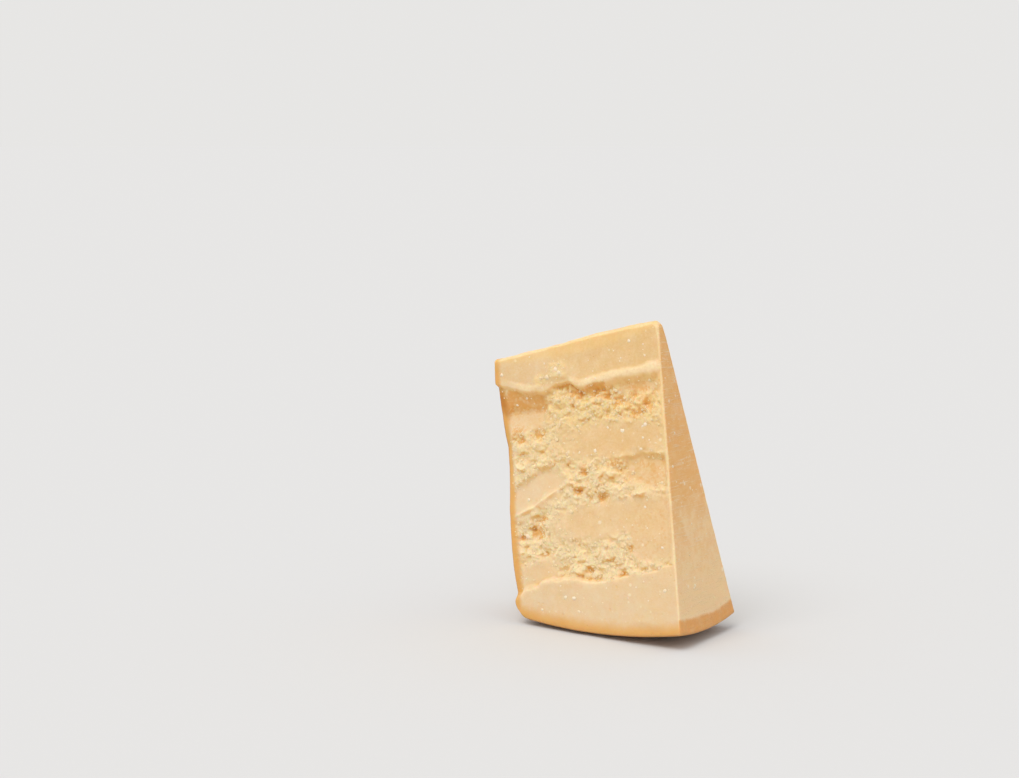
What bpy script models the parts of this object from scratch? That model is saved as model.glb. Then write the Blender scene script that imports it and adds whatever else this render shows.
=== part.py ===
"""A wedge of aged hard cheese, broken from a wheel that was first split at mid-height.

The piece stands on the wheel's barrel side. Its left face is the wheel's flat face, its right face
is the smooth cut at mid-height, and its front and back are radial breaks: smooth slabs and patches
with crumbly bands between them. The tip, towards the wheel's axis, is broken off.

Lengths are millimetres until the mesh is placed. Points of the piece are given as (across, radius):
the distance from the wheel's flat face, and the distance from the wheel's axis.
"""

import math

import bmesh
import bpy
import numpy as np
from mathutils import Matrix

# The wheel and the wedge taken from it
WHEEL_RADIUS = 210.0
HALF_HEIGHT = 116.5
BULGE = 19.5  # the wheel's radius is this much smaller at its flat face
RIM_RADIUS = 8.5  # rounding where the barrel side meets the flat face
WEDGE_ANGLE = 19.0
TIP_RADIUS = 24.0
# The tip is broken off aslant: its distance from the wheel's axis, from the flat face to the cut
TIP_LINE = [(0, 31), (14, 30.7), (34, 29), (55, 27.2), (72, 25.5), (95, 24.2), (117, 23.8)]
TIP_UNEVENNESS = 0.5
TIP_UNEVEN_SIZE = 6.0
TIP_SEED = 77
TIP_NOISE_START = 40.0  # the tip's unevenness runs from front to back through this much of the noise
TIP_NOISE_WIDTH = 30.0
TIP_CORNER = 5.0  # rounding where the tip meets the cut side
TWIST = 2.4  # the front break isn't quite flat: opposite corners stand this far out
EDGE_WEAR = 1.2  # rounding of the other edges
TIP_WEAR = 2.6  # and of those at the tip
WORN_TIP_SHARE = 0.08  # the share of the length over which one passes into the other

# How it stands
LEAN = 11.3  # degrees, about the contact with the table
FLAT_CUT = 0.45  # the rind is pressed flat by this much where the piece stands

STEP_MM = 1.2  # spacing of the points on the faces, before the mesh is thinned
TRIANGLES = 11000

# A break: the slab at the tip ends at the first line and the slab at the rind starts at the second.
# Along the wheel's flat face the break is smoother, and "flat edge" gives its height at each radius.
# A facet: centre across, centre radius, half width, half height, turn, height, slope across, slope down.
# A ridge: height, width, its line, and where along the line it starts and ends.
# A hollow, torn out between the crumbs: across, radius, half width, depth.
# A crumbly spot on a slab: across, radius, half width, height.
FRONT_BREAK = {
    "seed": 3,
    "tip slab end": [
        (0, 46.5), (6, 48.5), (12, 50), (24, 54), (35, 55), (43, 52), (52, 51.5), (60, 55), (116, 51),
    ],
    "rind slab start": [(0, 180), (12, 177), (24, 173), (36, 172), (64, 175), (92, 173), (116, 169)],
    "lip": [(0, 0), (10, 0.2), (18, 0.6), (32, 0.4), (40, 0), (52, 0), (63, 1), (116, 1)],
    "lip height": 1.6,
    "lip width": 4.6,
    "ledge": [(0, 5.0), (30, 4.0), (60, 1.5), (116, 1.0)],
    "crumb level": [(0, -4.6), (30, -3.6), (70, -2.4), (116, -1.8)],
    "flat edge": [
        (48, -3.6), (61, -4.3), (77, -6.5), (86, -8.3), (98, -7.6), (110, -5.8), (125, -3.3),
        (136, -2.5), (150, -1.5), (160, -1.6), (168, -2.4), (176, -3.8), (184, -3.8),
    ],
    "facets": {
        "notch roof": (17, 60.0, 18, 9.5, 4, -5.0, 0.0, -0.42),
        "notch floor": (18, 73.0, 15, 6.5, 3, -5.8, 0.0, 0.40),
        "lip roof": (100, 60.0, 16, 5.0, -2, -2.2, 0.0, -0.10),
        "upper patch": (79, 91.0, 40, 11.5, 3, -1.9, 0.01, 0.06),
        "middle recess": (101, 112.0, 17, 9.5, 6, -3.5, 0.0, 0.10),
        "left patch": (19, 117.0, 24, 10.0, -19, -4.2, 0.03, 0.12),
        "lower patch": (70, 138.0, 36, 11.5, -2, -1.9, 0.01, 0.03),
        "lower right patch": (103, 147.0, 17, 20.0, 3, -1.6, 0.0, 0.02),
        "low left patch": (20, 166.0, 15, 8.0, -8, -3.2, 0.0, 0.05),
    },
    "ridges": [
        (1.9, 2.4, [(0, 131), (8, 129), (17, 126), (29, 121), (40, 115), (52, 112)], (0, 50)),
        (1.5, 2.2, [(52, 112), (64, 109), (74, 109), (83, 112), (92, 119)], (54, 90)),
        (1.1, 2.0, [(70, 102), (85, 101), (116, 102)], (74, 116)),
        (1.2, 2.5, [(88, 125), (100, 124), (116, 125)], (90, 116)),
        (0.8, 2.6, [(0, 182), (12, 179), (24, 175), (36, 172)], (0, 36)),
    ],
    "hollows": [
        (44, 53, 6.0, 3.0),
        (58, 59, 9.0, 3.0),
        (70, 60, 5.0, 2.4),
        (78, 64, 4.0, 2.2),
        (96, 66, 4.0, 2.0),
        (86, 67, 9.0, 2.6),
        (104, 70, 8.0, 1.8),
        (25, 81, 9.0, 2.6),
        (12, 83, 6.0, 2.2),
        (58, 109, 5.0, 2.6),
        (52, 119, 4.0, 3.4),
        (68, 125, 7.0, 3.0),
        (83, 109, 6.0, 2.8),
        (90, 114, 5.0, 2.0),
        (24, 133, 6.0, 2.6),
        (20, 141, 7.0, 2.6),
        (8, 143, 5.0, 2.4),
        (24, 155, 5.0, 1.6),
        (86, 156, 5.0, 1.8),
        (80, 172, 4.0, 1.6),
        (56, 167, 5.0, 1.6),
    ],
    "spots": [(45, 44.5, 9.0, 0.5), (33, 49, 6.0, 0.3)],
}
BACK_BREAK = {
    "seed": 13,
    "tip slab end": [(0, 60), (30, 66), (62, 58), (90, 63), (116, 57)],
    "rind slab start": [(0, 170), (28, 176), (60, 171), (92, 178), (116, 181)],
    "lip": [(0, 1), (30, 1), (44, 0), (70, 0), (84, 0.6), (116, 0.8)],
    "lip height": 1.5,
    "lip width": 6.0,
    "ledge": [(0, 1.5), (60, 2.5), (116, 4.0)],
    "crumb level": [(0, -2.0), (60, -3.0), (116, -2.4)],
    "flat edge": [
        (50, -1.2), (70, -2.6), (96, -4.2), (120, -3.0), (146, -1.6), (165, -2.2), (184, -1.5),
    ],
    "facets": {
        "upper patch": (36, 93.0, 31, 12.0, 10, -2.6, 0.02, 0.05),
        "right patch": (90, 106.0, 22, 15.0, -8, -3.4, -0.02, 0.04),
        "lower patch": (44, 146.0, 34, 14.0, -6, -2.0, 0.0, -0.03),
        "low right patch": (98, 154.0, 15, 10.0, 12, -2.6, 0.0, 0.03),
    },
    "ridges": [
        (1.3, 2.4, [(0, 112), (24, 110), (48, 116), (66, 124)], (2, 64)),
        (1.2, 2.2, [(60, 92), (82, 84), (116, 88)], (62, 114)),
    ],
    "hollows": [
        (20, 74, 7.0, 2.4),
        (70, 80, 9.0, 2.6),
        (58, 112, 6.0, 2.8),
        (18, 122, 7.0, 2.4),
        (80, 130, 8.0, 2.8),
        (30, 166, 6.0, 2.0),
        (82, 168, 7.0, 2.4),
    ],
    "spots": [(74, 54, 7.0, 0.4), (24, 182, 6.0, 0.3)],
}
BACK_TIP_SHARE = 0.35  # share of its height that the back's relief has at the thin tip
BACK_TIP_RADII = (30.0, 90.0)  # it grows to its full height between these radii

# The crumbly bands are rounded lumps with angular flakes on them: size and height of each
LUMPS = (10.0, 3.0)
FLAKES = (5.2, 2.2)
CRUMB_MIDDLE = 0.55
CRUMB_FLATTENING = 1.15
LUMP_WANDER = 0.4  # share of a lump's size that its outline wanders by
FLAKE_WANDER = 0.35
FLAKE_TILT = 0.9
FLAKE_STEEPNESS = 2.4
# A facet's level takes over between the first two distances in from its outline, and the lumps
# die out between the other two
FACET_BLEND = (-3.8, 3.4)
FACET_FADE = (-4.2, 4.6)
FACET_SQUARENESS = 2.8
HOLLOW_FLATTENING = 1.5
HOLLOW_WANDER = 0.16
HOLLOW_EDGE = (0.0, 1.3)  # a hollow rises to its rim between these shares of its half width
HOLLOW_IN_FACET = 0.35  # share of its depth that it has where the break is smooth
RIDGE_WANDER = 0.5
RIDGE_FADE = 3.0
RIDGE_SHARPNESS = 1.6
FLAT_EDGE_FADE = (0.5, 9.0)
FLAT_EDGE_SMOOTHNESS = 0.8
SPOT_FLATTENING = 1.3
SPOT_WANDER = 0.12
SPOT_EDGE = (0.4, 1.2)
SPOT_STRENGTH = 0.5  # share of the lumps' height that a crumbly spot has
TIP_EDGE_WANDER = 0.4
RIND_EDGE_WANDER = 0.8
LIP_RISE = 3.0
LIP_DROP = (2.5, 4.5)  # width of the drop below a slab's edge, and how much more it is below a full lip
RIM_AT_CUT = 0.12  # the relief dies out to this share at the cut side, which leaves a straight rim
RIM_FADE = (0.6, 4.2)

PASTE_COLOUR = (0.79, 0.545, 0.275, 1.0)
PASTE_ROUGHNESS = 0.55


def smooth_step(value, low, high):
    share = np.clip((value - low) / (high - low), 0.0, 1.0)
    return share * share * (3.0 - 2.0 * share)


def along(line, place):
    """The value at this place of a line given by a few points."""
    return np.interp(place, *zip(*line))


def value_noise(across, radius, cell, seed):
    """Smooth noise between -1 and 1 with features of about one cell."""
    table = np.random.default_rng(seed).uniform(-1.0, 1.0, (64, 64))
    column = np.floor(across / cell).astype(int)
    row = np.floor(radius / cell).astype(int)
    right = smooth_step(across / cell - column, 0.0, 1.0)
    down = smooth_step(radius / cell - row, 0.0, 1.0)
    corners = [[table[(column + i) % 64, (row + j) % 64] for j in (0, 1)] for i in (0, 1)]
    near = corners[0][0] * (1 - down) + corners[0][1] * down
    far = corners[1][0] * (1 - down) + corners[1][1] * down
    return near * (1 - right) + far * right


def packed(across, radius, size, wander, seed):
    """Each point's offset from the middles of the nine cells round it, with the cells' random values."""
    x = (across + wander * size * value_noise(across, radius, 1.3 * size, seed + 50)) / size
    y = (radius + wander * size * value_noise(across, radius, 1.3 * size, seed + 51)) / size
    cells = np.random.default_rng(seed).random((64, 64, 6))
    column = np.floor(x).astype(int)
    row = np.floor(y).astype(int)
    for i in (-1, 0, 1):
        for j in (-1, 0, 1):
            cell = cells[(column + i) % 64, (row + j) % 64]
            yield x - (column + i + cell[..., 0]), y - (row + j + cell[..., 1]), cell


def lumps(across, radius, size, seed):
    """Domes of uneven height packed side by side, between 0 and 1."""
    top = np.zeros_like(across)
    for offset_x, offset_y, cell in packed(across, radius, size, LUMP_WANDER, seed):
        distance = np.hypot(offset_x, offset_y)
        dome = np.maximum(1.0 - (distance / 0.98) ** 2, 0.0) ** 0.75
        top = np.maximum(top, (0.3 + 0.7 * cell[..., 2]) * dome)
    return top


def flakes(across, radius, size, seed):
    """Chips with tilted flat tops and steep sides, packed side by side."""
    top = np.zeros_like(across)
    for offset_x, offset_y, cell in packed(across, radius, size, FLAKE_WANDER, seed):
        turn = math.pi * cell[..., 3]
        u = offset_x * np.cos(turn) + offset_y * np.sin(turn)
        v = offset_y * np.cos(turn) - offset_x * np.sin(turn)
        six_sided = np.maximum(np.abs(u), 0.5 * np.abs(u) + 0.87 * np.abs(v))
        reach = np.maximum(six_sided, -1.15 * v)
        tilt = FLAKE_TILT * ((cell[..., 4] - 0.5) * u + (cell[..., 5] - 0.5) * v)
        flat = 0.35 + 0.65 * cell[..., 2] + tilt
        top = np.maximum(top, np.minimum(flat, FLAKE_STEEPNESS * (0.98 - reach)))
    return top


def crumb_height(across, radius, seed):
    """Height of the crumbly texture about its own level."""
    down = CRUMB_FLATTENING * radius
    lump = lumps(across, down, LUMPS[0], seed + 5) - CRUMB_MIDDLE
    flake = flakes(across, down, FLAKES[0], seed + 6) - CRUMB_MIDDLE
    return LUMPS[1] * lump + FLAKES[1] * flake


def raggedness(across, radius, seed):
    """How far outlines wander off their lines, so that nothing on a break is straight."""
    broad = 1.5 * value_noise(across, radius, 9.0, seed)
    fine = 0.9 * value_noise(across, radius, 4.0, seed + 1)
    return broad + fine + 1.8 * (lumps(across, radius, 3.6, seed + 6) - 0.5)


def inside_facet(across, radius, centre_a, centre_r, half_a, half_r, turn):
    """Distance in from a facet's outline, which lies between an ellipse and a rectangle."""
    cos_turn = math.cos(math.radians(turn))
    sin_turn = math.sin(math.radians(turn))
    x = ((across - centre_a) * cos_turn + (radius - centre_r) * sin_turn) / half_a
    y = ((radius - centre_r) * cos_turn - (across - centre_a) * sin_turn) / half_r
    span = np.abs(x) ** FACET_SQUARENESS + np.abs(y) ** FACET_SQUARENESS
    return (1.0 - span ** (1 / FACET_SQUARENESS)) * half_r


def between_slabs(plan, across, radius, ragged):
    """Height of the middle of a break, and how crumbly it is: lumps, facets, torn hollows and ridges."""
    level = along(plan["crumb level"], across)
    rough = np.ones_like(across)
    for centre_a, centre_r, *shape, height, slope_a, slope_r in plan["facets"].values():
        inside = inside_facet(across, radius, centre_a, centre_r, *shape) + ragged
        plane = height + slope_a * (across - centre_a) + slope_r * (radius - centre_r)
        level = level + (plane - level) * smooth_step(inside, *FACET_BLEND)
        rough = rough * (1.0 - smooth_step(inside, *FACET_FADE))
    relief = level + rough * crumb_height(across, radius, plan["seed"])
    for hollow_a, hollow_r, half_width, depth in plan["hollows"]:
        reach = np.hypot(across - hollow_a, HOLLOW_FLATTENING * (radius - hollow_r)) / half_width
        torn = 1.0 - smooth_step(reach - HOLLOW_WANDER * ragged, *HOLLOW_EDGE)
        relief = relief - depth * torn * (HOLLOW_IN_FACET + (1.0 - HOLLOW_IN_FACET) * rough)
    uneven = 0.75 + 0.5 * value_noise(across, radius, 7.0, plan["seed"] + 20)
    for height, width, line, (start, end) in plan["ridges"]:
        offset = np.abs(radius - along(line, across) + RIDGE_WANDER * ragged) / (width * uneven)
        from_start = smooth_step(across - start, -RIDGE_FADE, RIDGE_FADE)
        from_end = smooth_step(end - across, -RIDGE_FADE, RIDGE_FADE)
        relief = relief + height * uneven * from_start * from_end * np.exp(-(offset**RIDGE_SHARPNESS))
    at_flat = 1.0 - smooth_step(across, *FLAT_EDGE_FADE)
    relief = relief + (along(plan["flat edge"], radius) - relief) * at_flat
    return relief, rough * (1.0 - FLAT_EDGE_SMOOTHNESS * at_flat)


def break_relief(plan, across, radius):
    """How far a broken side stands out from its plane."""
    ragged = raggedness(across, radius, plan["seed"])
    middle, rough = between_slabs(plan, across, radius, ragged)
    tip_edge = along(plan["tip slab end"], across) - TIP_EDGE_WANDER * ragged
    rind_edge = along(plan["rind slab start"], across) - RIND_EDGE_WANDER * ragged
    lip_share = along(plan["lip"], across)
    lip_top = tip_edge - plan["lip width"]
    lip = plan["lip height"] * lip_share * smooth_step(radius, lip_top, lip_top + LIP_RISE)
    drop = LIP_DROP[0] + LIP_DROP[1] * lip_share
    in_tip_slab = 1.0 - smooth_step(radius, tip_edge, tip_edge + drop)
    in_rind_slab = smooth_step(radius, rind_edge - along(plan["ledge"], across), rind_edge)
    between = (1.0 - in_tip_slab) * (1.0 - in_rind_slab)
    relief = middle * between + lip * in_tip_slab
    smooth = 1.0 - rough * between
    for spot_a, spot_r, half_width, height in plan["spots"]:
        reach = np.hypot(across - spot_a, SPOT_FLATTENING * (radius - spot_r)) / half_width
        on_spot = (1.0 - smooth_step(reach - SPOT_WANDER * ragged, *SPOT_EDGE)) * smooth
        relief = relief + on_spot * (height + SPOT_STRENGTH * crumb_height(across, radius, plan["seed"]))
    return relief * (RIM_AT_CUT + (1.0 - RIM_AT_CUT) * smooth_step(HALF_HEIGHT - across, *RIM_FADE))


def rounded_corner(first, second, radius):
    """Turns the square corner between two sides into a quarter circle, given the distances from both."""
    u = np.clip(1.0 - first / radius, 0.0, 1.0)
    v = np.clip(1.0 - second / radius, 0.0, 1.0)
    length = np.hypot(u, v)
    pull = np.where(length > 0, np.maximum(u, v) / np.where(length > 0, length, 1.0), 1.0)
    return first + radius * u * (1.0 - pull), second + radius * v * (1.0 - pull)


def rind_at(across):
    return WHEEL_RADIUS - BULGE * (1.0 - across / HALF_HEIGHT) ** 2


def tip_at(across, side):
    """Radius of the tip; the side runs from -0.5 at the front to 0.5 at the back."""
    uneven = value_noise(across, TIP_NOISE_START + TIP_NOISE_WIDTH * side, TIP_UNEVEN_SIZE, TIP_SEED)
    return along(TIP_LINE, across) + TIP_UNEVENNESS * uneven


def worn_edges(cube):
    """Rounds the cube's edges round its front and back, by radii in millimetres once it is stretched."""
    down = 0.5 - cube[:, 2]
    length = rind_at((cube[:, 0] + 0.5) * HALF_HEIGHT) - TIP_RADIUS
    thickness = 2.0 * (TIP_RADIUS + down * length) * math.sin(math.radians(WEDGE_ANGLE / 2))
    worn = EDGE_WEAR + (TIP_WEAR - EDGE_WEAR) * (1.0 - smooth_step(down, 0.0, WORN_TIP_SHARE))
    from_side = (0.5 - np.abs(cube[:, 1])) * thickness
    inset = []
    nearest = np.full_like(down, HALF_HEIGHT)
    for place, side_length in ((cube[:, 0] + 0.5, HALF_HEIGHT), (down, length)):
        from_start = place * side_length
        from_end = side_length - from_start
        nearest = np.minimum(nearest, np.minimum(from_start, from_end))
        at_start = rounded_corner(from_start, from_side, worn)[0]
        at_end = side_length - rounded_corner(from_end, from_side, worn)[0]
        inset.append(np.where(from_start < from_end, at_start, at_end) / side_length - 0.5)
    depth = rounded_corner(nearest, from_side, worn)[1]
    return np.stack([inset[0], np.sign(cube[:, 1]) * (0.5 - depth / thickness), -inset[1]], axis=1)


def rounded_outline(across, radius, rind_radius, tip_radius):
    """Rounds the four corners of the piece as seen from the front."""
    corners = (
        (True, True, RIM_RADIUS),
        (False, True, EDGE_WEAR),
        (True, False, TIP_WEAR),
        (False, False, TIP_CORNER),
    )
    for at_flat_face, at_rind, rounding in corners:
        from_end = across if at_flat_face else HALF_HEIGHT - across
        from_curve = rind_radius - radius if at_rind else radius - tip_radius
        from_end, from_curve = rounded_corner(from_end, from_curve, rounding)
        across = from_end if at_flat_face else HALF_HEIGHT - from_end
        radius = rind_radius - from_curve if at_rind else tip_radius + from_curve
    return across, radius


def wedge_points(cube):
    """Maps the cube's points to the wedge: x runs across, y from front to back, z from rind to tip."""
    cube = worn_edges(cube)
    across = (cube[:, 0] + 0.5) * HALF_HEIGHT
    down = 0.5 - cube[:, 2]
    rind_radius = rind_at(across)
    tip_radius = tip_at(across, cube[:, 1])
    radius = tip_radius + down * (rind_radius - tip_radius)
    across, radius = rounded_outline(across, radius, rind_radius, tip_radius)
    angle = cube[:, 1] * math.radians(WEDGE_ANGLE)
    points = np.stack([across - HALF_HEIGHT, radius * np.sin(angle), -radius * np.cos(angle)], axis=1)

    half = math.radians(WEDGE_ANGLE / 2)
    front_normal = np.array([0.0, -math.cos(half), math.sin(half)])
    back_normal = np.array([0.0, math.cos(half), math.sin(half)])
    to_back = cube[:, 1] + 0.5
    twist = TWIST * (2.0 * across / HALF_HEIGHT - 1.0) * (2.0 * down - 1.0)
    front = break_relief(FRONT_BREAK, across, radius) + twist
    thinned = BACK_TIP_SHARE + (1.0 - BACK_TIP_SHARE) * smooth_step(radius, *BACK_TIP_RADII)
    back = break_relief(BACK_BREAK, across, radius) * thinned
    points = points + (front * (1.0 - to_back))[:, None] * front_normal
    return points + (back * to_back)[:, None] * back_normal


def gridded_cube():
    """A unit cube with square cells of about STEP_MM once it is stretched to the wedge."""
    width = 2.0 * WHEEL_RADIUS * math.sin(math.radians(WEDGE_ANGLE / 2))
    sides = (HALF_HEIGHT, width, WHEEL_RADIUS - TIP_RADIUS)
    cube = bmesh.new()
    bmesh.ops.create_cube(cube, size=1.0)
    for axis, side in enumerate(sides):
        lengthwise = [e for e in cube.edges if abs(e.verts[0].co[axis] - e.verts[1].co[axis]) > 0.5]
        cuts = round(side / STEP_MM) - 1
        bmesh.ops.subdivide_edges(cube, edges=lengthwise, cuts=cuts, use_grid_fill=True)
    return cube


def paste_material():
    material = bpy.data.materials.new("cheese_paste")
    material.use_nodes = True
    shader = material.node_tree.nodes["Principled BSDF"]
    shader.inputs["Base Color"].default_value = PASTE_COLOUR
    shader.inputs["Roughness"].default_value = PASTE_ROUGHNESS
    shader.inputs["Metallic"].default_value = 0.0
    return material


def new_collection(name):
    collection = bpy.data.collections.new(name)
    bpy.context.scene.collection.children.link(collection)
    return collection


def stand_on_table(points):
    """Leans the points to the resting pose and lowers them until the table cuts FLAT_CUT off."""
    lean = np.array(Matrix.Rotation(math.radians(-LEAN), 3, "Y"))
    points = points @ lean.T
    middle = (points.min(axis=0) + points.max(axis=0)) / 2
    return points - [middle[0], middle[1], points[:, 2].min() + FLAT_CUT]


def table_cutter(cutters):
    """A block whose top is the table, z = 0."""
    bpy.ops.mesh.primitive_cube_add(size=0.4, location=(0, 0, -0.2))
    block = bpy.context.object
    block.name = "table_cutter"
    block.hide_render = True
    block.display_type = "WIRE"
    for collection in block.users_collection:
        collection.objects.unlink(block)
    cutters.objects.link(block)
    return block


def build_wedge(parts, cutters):
    cube = gridded_cube()
    corners = np.array([vertex.co for vertex in cube.verts])
    placed = stand_on_table(wedge_points(corners)) / 1000.0
    for vertex, point in zip(cube.verts, placed):
        vertex.co = point
    mesh = bpy.data.meshes.new("cheese_wedge")
    cube.to_mesh(mesh)
    cube.free()
    wedge = bpy.data.objects.new("cheese_wedge", mesh)
    parts.objects.link(wedge)
    mesh.materials.append(paste_material())

    thin = wedge.modifiers.new("Fewer triangles", "DECIMATE")
    thin.ratio = TRIANGLES / (2 * len(mesh.polygons))
    thin.use_collapse_triangulate = True
    flat = wedge.modifiers.new("Flat spot", "BOOLEAN")
    flat.operation = "DIFFERENCE"
    flat.object = table_cutter(cutters)
    mesh.shade_smooth()
    mesh.set_sharp_from_angle(angle=math.radians(50))
    return wedge


def main():
    for obj in list(bpy.data.objects):
        bpy.data.objects.remove(obj)
    parts = new_collection("cheese_wedge_part")
    cutters = new_collection("cutters")
    build_wedge(parts, cutters)


main()
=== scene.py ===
import math

import bmesh
import bpy
import numpy as np
from mathutils import Matrix, Vector


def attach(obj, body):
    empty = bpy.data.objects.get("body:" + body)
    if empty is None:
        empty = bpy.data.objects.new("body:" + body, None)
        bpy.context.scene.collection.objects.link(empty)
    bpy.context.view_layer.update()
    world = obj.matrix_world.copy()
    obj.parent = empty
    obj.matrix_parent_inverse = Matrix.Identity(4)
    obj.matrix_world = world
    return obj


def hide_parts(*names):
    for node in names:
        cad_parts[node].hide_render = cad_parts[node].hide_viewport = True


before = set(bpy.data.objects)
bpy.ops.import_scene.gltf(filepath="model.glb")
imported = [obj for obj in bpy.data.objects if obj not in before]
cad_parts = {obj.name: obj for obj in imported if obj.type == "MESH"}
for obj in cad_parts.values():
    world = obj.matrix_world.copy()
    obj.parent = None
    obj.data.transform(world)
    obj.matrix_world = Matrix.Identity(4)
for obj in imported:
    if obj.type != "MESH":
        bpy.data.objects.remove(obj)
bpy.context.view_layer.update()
print("frame loaded:", sorted(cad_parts))

# The wedge in millimetres. "across" runs from the wheel's flat face, "radius" from its axis.
wedge = {
    "wheelRadius": 210.0,
    "halfHeight": 116.5,
    "bulge": 19.5,
    "rimRadius": 8.5,
    "tipCorner": 5.0,  # rounding where the tip meets the cut side
    "angle": 19.0,
    # the tip is broken off aslant
    "tip": [(0, 31), (14, 30.7), (34, 29), (55, 27.2), (72, 25.5), (95, 24.2), (117, 23.8)],
    "tipRadius": 24.0,
    "tipUneven": 0.5,
    "tipUnevenSize": 6.0,
    "tipNoise": (40.0, 30.0, 77),  # start, width and seed of the noise from front to back
    "twist": 2.4,
    "lean": 11.3,
    "edgeWear": 1.2,  # rounding of the broken and cut edges
    "tipWear": 2.6,  # and of those round the tip
    "tipWearEnd": 0.08,  # share of the way down where that ends
    "edgeHighlightReach": (0.02, 0.45),  # how near a worn edge the painted highlight begins and is full
    "painted": 0.03,  # how far round their edges the breaks' looks reach, in thicknesses
    "grid": 0.5,  # spacing of the points before the mesh is thinned
    "quickGrid": 1.3,
    "triangles": 190000,
}
halfHeight = wedge["halfHeight"]
halfAngle = math.radians(wedge["angle"] / 2)
lean = np.array(Matrix.Rotation(math.radians(-wedge["lean"]), 3, "Y"))
# Where the wedge's own axes sit in the frame: wheel axis and mid-height plane, in metres
wedgeOffset = (-0.033473, -0.001144, -0.212332)

# The front break. The slab at the tip ends at the first line, the slab at the rind starts at the second.
frontBreak = {
    "seed": 3,
    "tipSlabEnd": [(0, 46.5), (6, 48.5), (12, 50), (24, 54), (35, 55), (43, 52), (52, 51.5), (60, 55),
                   (116, 51)],
    "rindSlabStart": [(0, 180), (12, 177), (24, 173), (36, 172), (64, 175), (92, 173), (116, 169)],
    "lip": [(0, 0), (10, 0.2), (18, 0.6), (32, 0.4), (40, 0), (52, 0), (63, 1), (116, 1)],
    "lipHeight": 1.6,
    "lipWidth": 4.6,
    "ledge": [(0, 5), (30, 4), (60, 1.5), (116, 1)],
    "crumbLevel": [(0, -4.6), (30, -3.6), (70, -2.4), (116, -1.8)],
    # along the wheel's flat face the break is smoother, and this high at each radius
    "flatEdge": [(48, -3.6), (61, -4.3), (77, -6.5), (86, -8.3), (98, -7.6), (110, -5.8), (125, -3.3),
                 (136, -2.5), (150, -1.5), (160, -1.6), (168, -2.4), (176, -3.8), (184, -3.8)],
    # centre across, centre radius, half width, half height, turn, height, slope across, slope down, shade
    "facets": {
        "notch roof": (17, 60, 18, 9.5, 4, -5, 0, -0.42, 0.75),
        "notch floor": (18, 73, 15, 6.5, 3, -5.8, 0, 0.40, 0.15),
        "lip roof": (100, 60, 16, 5, -2, -2.2, 0, -0.10, 0.45),
        "upper patch": (79, 91, 40, 11.5, 3, -1.9, 0.01, 0.06, 0.1),
        "middle recess": (101, 112, 17, 9.5, 6, -3.5, 0, 0.10, 0.3),
        "left patch": (19, 117, 24, 10, -19, -4.2, 0.03, 0.12, 0),
        "lower patch": (70, 138, 36, 11.5, -2, -1.9, 0.01, 0.03, 0),
        "lower right patch": (103, 147, 17, 20, 3, -1.6, 0, 0.02, 0.15),
        "low left patch": (20, 166, 15, 8, -8, -3.2, 0, 0.05, 0),
    },
    # raised lines: height, width, then the line's places
    "ridges": [
        (1.9, 2.4, [(0, 131), (8, 129), (17, 126), (29, 121), (40, 115), (52, 112)], (0, 50)),
        (1.5, 2.2, [(52, 112), (64, 109), (74, 109), (83, 112), (92, 119)], (54, 90)),
        (1.1, 2, [(70, 102), (85, 101), (116, 102)], (74, 116)),
        (1.2, 2.5, [(88, 125), (100, 124), (116, 125)], (90, 116)),
        (0.8, 2.6, [(0, 182), (12, 179), (24, 175), (36, 172)], (0, 36)),
    ],
    "hollows": [(44, 53, 6, 3), (58, 59, 9, 3), (70, 60, 5, 2.4), (78, 64, 4, 2.2), (96, 66, 4, 2),
                (86, 67, 9, 2.6), (104, 70, 8, 1.8), (25, 81, 9, 2.6), (12, 83, 6, 2.2),
                (58, 109, 5, 2.6), (52, 119, 4, 3.4), (68, 125, 7, 3), (83, 109, 6, 2.8), (90, 114, 5, 2),
                (24, 133, 6, 2.6), (20, 141, 7, 2.6), (8, 143, 5, 2.4), (24, 155, 5, 1.6),
                (86, 156, 5, 1.8), (80, 172, 4, 1.6), (56, 167, 5, 1.6)],
    "hollowShade": 0.85,
    # painted shade where the torn paste lies darkest: across, radius, half width, strength
    "shadePatches": [(69, 57.5, 13, 0.9), (84, 69, 8, 0.9), (99, 73, 18, 0.7), (80.5, 105, 8, 0.8),
               (50, 116, 6, 0.6), (58, 105.5, 6, 0.5), (11.5, 79.5, 10, 0.6), (2, 58, 9, 1),
               (106, 157, 5, 0.4), (66, 118, 14, 0.35)],
    # crumbly spots on the slabs: across, radius, half width, height
    "spots": [(45, 44.5, 9, 0.5), (33, 49, 6, 0.3)],
}
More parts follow.
